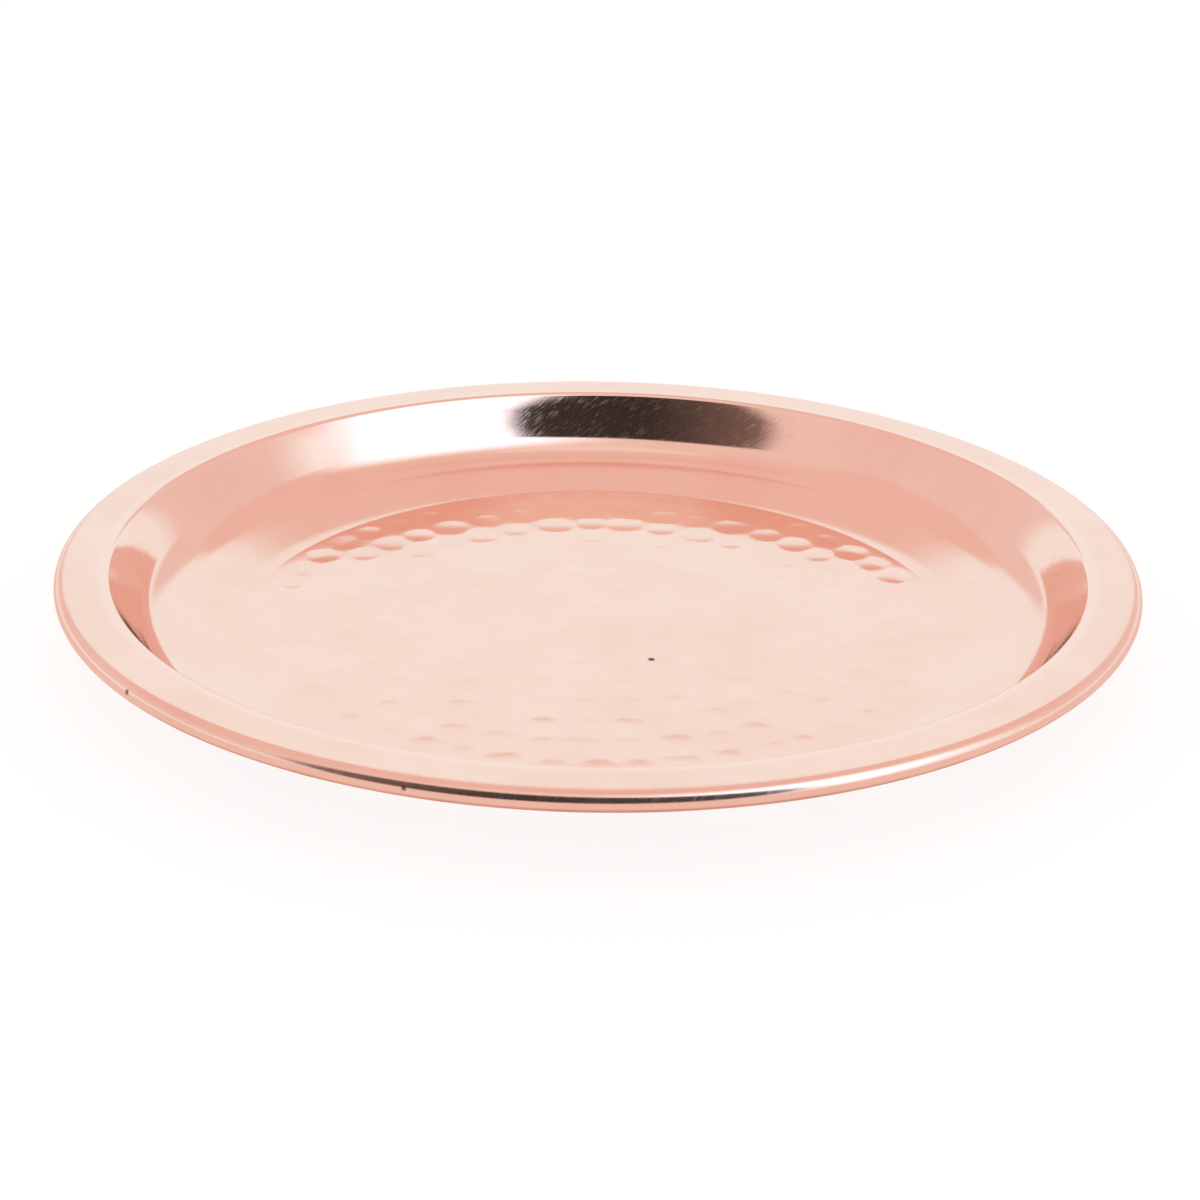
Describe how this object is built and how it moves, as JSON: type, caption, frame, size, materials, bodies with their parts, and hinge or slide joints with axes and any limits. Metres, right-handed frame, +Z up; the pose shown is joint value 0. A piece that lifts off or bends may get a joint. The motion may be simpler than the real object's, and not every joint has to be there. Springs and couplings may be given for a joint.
{
  "type": "round serving tray",
  "caption": "Round copper serving tray: slightly crowned hammered floor, plain sloping ring, steep wall, flat rim with a rolled and wired edge.",
  "frame": {"origin": "on the resting plane, under the centre of the tray", "axes": "+Z up, along the tray's axis of symmetry; X and Y lie in the resting plane"},
  "size_m": [0.3, 0.3, 0.0233],
  "materials": {
    "copper": "bright rose copper, satin brushed, hand-hammered floor",
    "edge_wire": "drawn and galvanised steel wire, hidden inside the rolled edge"
  },
  "bodies": {
    "root": {"tray_pan": "copper", "rim_wire": "edge_wire"}
  },
  "joints": []
}
